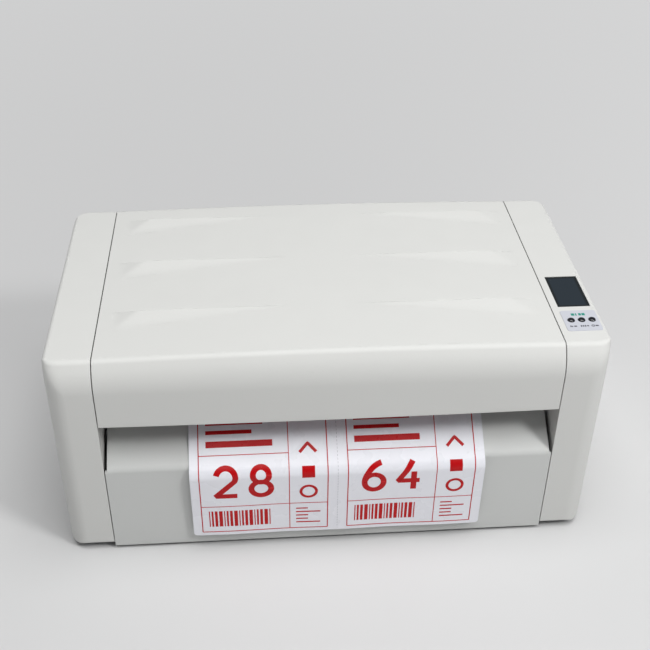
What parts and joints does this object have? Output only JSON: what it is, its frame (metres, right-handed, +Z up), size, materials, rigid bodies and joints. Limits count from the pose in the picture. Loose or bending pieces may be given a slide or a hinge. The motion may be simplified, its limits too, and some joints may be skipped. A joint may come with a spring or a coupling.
{
  "type": "thermal transfer printer",
  "caption": "Wide desktop thermal transfer printer with a hinged lid over a media bay, an exit tray with a label sheet, and a display with keys on the right cheek.",
  "frame": {"origin": "centre of the underside of the feet's bounding box, on the surface the printer stands on", "axes": "+X to the printer's right seen from the front, +Y to the back, +Z up"},
  "size_m": [0.585, 0.3334, 0.2605],
  "materials": {
    "shell": "fine grain, light warm grey",
    "tray": "fine grain, light warm grey",
    "zinc": "zinc plated sheet",
    "steel": "ground steel",
    "sheet_paint": "light grey paint",
    "rubber": "matt black",
    "aluminium": "extruded",
    "ceramic": "glazed ceramic on a board",
    "glass": "glossy dark window",
    "overlay": "pale lavender film",
    "black": "glossy black",
    "black_matte": "matt black",
    "nylon": "natural acetal",
    "green": "green lever",
    "board": "solder mask",
    "paper": "coated label stock",
    "card": "spiral-wound tube",
    "ribbon": "red transfer ribbon",
    "bronze": "sintered bronze",
    "cable": "black insulation"
  },
  "bodies": {
    "chassis": {"base_pan": "zinc", "rubber_feet": "rubber", "left_side_plate": "sheet_paint", "right_side_plate": "sheet_paint", "cross_beams": "zinc", "back_panel": "sheet_paint", "left_cheek": "shell", "right_cheek": "shell", "front_panel": "tray", "tear_bar": "steel", "fasteners": "steel", "display_window": "glass", "display_module": "black_matte", "key_board": "board", "key_overlay": "overlay", "hinge_pins": "steel", "friction_washers": "nylon", "lid_rests": "rubber", "platen_bearings": "steel", "feed_motor": "black_matte", "fixed_shafts": "steel", "shaft_bushes": "bronze", "ribbon_film": "ribbon", "roll_cradles": "nylon", "label_web": "paper", "power_supply": "zinc", "control_board": "board", "board_components": "black_matte", "rear_sockets": "black_matte", "wiring": "cable"},
    "lid": {"lid": "shell"},
    "platen": {"platen_roller": "rubber", "platen_shaft": "steel", "platen_gear": "nylon"},
    "pinion": {"motor_pinion": "steel"},
    "idler": {"idler_gear": "nylon"},
    "takeup": {"takeup_spindle": "black_matte", "takeup_core": "card", "takeup_roll": "ribbon", "takeup_gear": "nylon"},
    "supply": {"supply_spindle": "black_matte", "supply_core": "card", "supply_roll": "ribbon"},
    "head": {"head_frame": "zinc", "heat_sink": "aluminium", "printhead": "ceramic", "head_suspension": "steel", "guide_rods": "steel"},
    "release": {"cam_shaft": "steel", "head_lever": "green"},
    "roller": {"guide_roller": "steel"},
    "media": {"media_spindle": "steel", "media_core": "card", "media_roll": "paper"},
    "left_guide": {"left_media_guide": "nylon"},
    "right_guide": {"right_media_guide": "nylon"},
    "left_key": {"left_key": "black"},
    "middle_key": {"middle_key": "black"},
    "right_key": {"right_key": "black"},
    "rocker": {"power_rocker": "black"}
  },
  "joints": [
    {"name": "lid_open", "type": "hinge", "parent": "chassis", "child": "lid", "pos_m": [0, 0.15675, 0.244], "axis": [-1, 0, 0], "range_deg": [0, 92]},
    {"name": "platen_turn", "type": "hinge", "parent": "chassis", "child": "platen", "pos_m": [0, -0.08325, 0.1515], "axis": [1, 0, 0], "continuous": true},
    {"name": "pinion_turn", "type": "hinge", "parent": "chassis", "child": "pinion", "pos_m": [0, -0.05501, 0.12607], "axis": [1, 0, 0], "continuous": true},
    {"name": "idler_turn", "type": "hinge", "parent": "chassis", "child": "idler", "pos_m": [0, -0.09765, 0.19413], "axis": [1, 0, 0], "continuous": true},
    {"name": "takeup_turn", "type": "hinge", "parent": "chassis", "child": "takeup", "pos_m": [0, -0.12325, 0.218], "axis": [1, 0, 0], "continuous": true},
    {"name": "supply_turn", "type": "hinge", "parent": "chassis", "child": "supply", "pos_m": [0, -0.00825, 0.218], "axis": [1, 0, 0], "continuous": true},
    {"name": "head_lift", "type": "hinge", "parent": "chassis", "child": "head", "pos_m": [0, -0.00825, 0.174], "axis": [-1, 0, 0], "range_deg": [0, 4.5]},
    {"name": "release_turn", "type": "hinge", "parent": "chassis", "child": "release", "pos_m": [0, -0.06625, 0.2012], "axis": [-1, 0, 0], "range_deg": [0, 90]},
    {"name": "roller_turn", "type": "hinge", "parent": "chassis", "child": "roller", "pos_m": [0, 0.01375, 0.1705], "axis": [1, 0, 0], "continuous": true},
    {"name": "media_turn", "type": "hinge", "parent": "chassis", "child": "media", "pos_m": [0, 0.08675, 0.111], "axis": [1, 0, 0], "continuous": true},
    {"name": "left_guide_slide", "type": "slide", "parent": "media", "child": "left_guide", "axis": [-1, 0, 0], "range_m": [0, 0.05]},
    {"name": "right_guide_slide", "type": "slide", "parent": "media", "child": "right_guide", "axis": [1, 0, 0], "range_m": [0, 0.036]},
    {"name": "left_key_press", "type": "slide", "parent": "chassis", "child": "left_key", "axis": [0, 0, -1], "range_m": [0, 0.0008], "stiffness_N_per_m": 400, "springref_m": -0.0005},
    {"name": "middle_key_press", "type": "slide", "parent": "chassis", "child": "middle_key", "axis": [0, 0, -1], "range_m": [0, 0.0008], "stiffness_N_per_m": 400, "springref_m": -0.0005},
    {"name": "right_key_press", "type": "slide", "parent": "chassis", "child": "right_key", "axis": [0, 0, -1], "range_m": [0, 0.0008], "stiffness_N_per_m": 400, "springref_m": -0.0005},
    {"name": "rocker_switch", "type": "hinge", "parent": "chassis", "child": "rocker", "pos_m": [0.15, 0.15675, 0.036], "axis": [-1, 0, 0], "range_deg": [0, 16]}
  ],
  "couplings": [
    {"joint": "pinion_turn", "follows": "platen_turn", "ratio": -3.75},
    {"joint": "idler_turn", "follows": "platen_turn", "ratio": -2},
    {"joint": "takeup_turn", "follows": "platen_turn", "ratio": 1.5},
    {"joint": "release_turn", "follows": "head_lift", "ratio": 20}
  ]
}
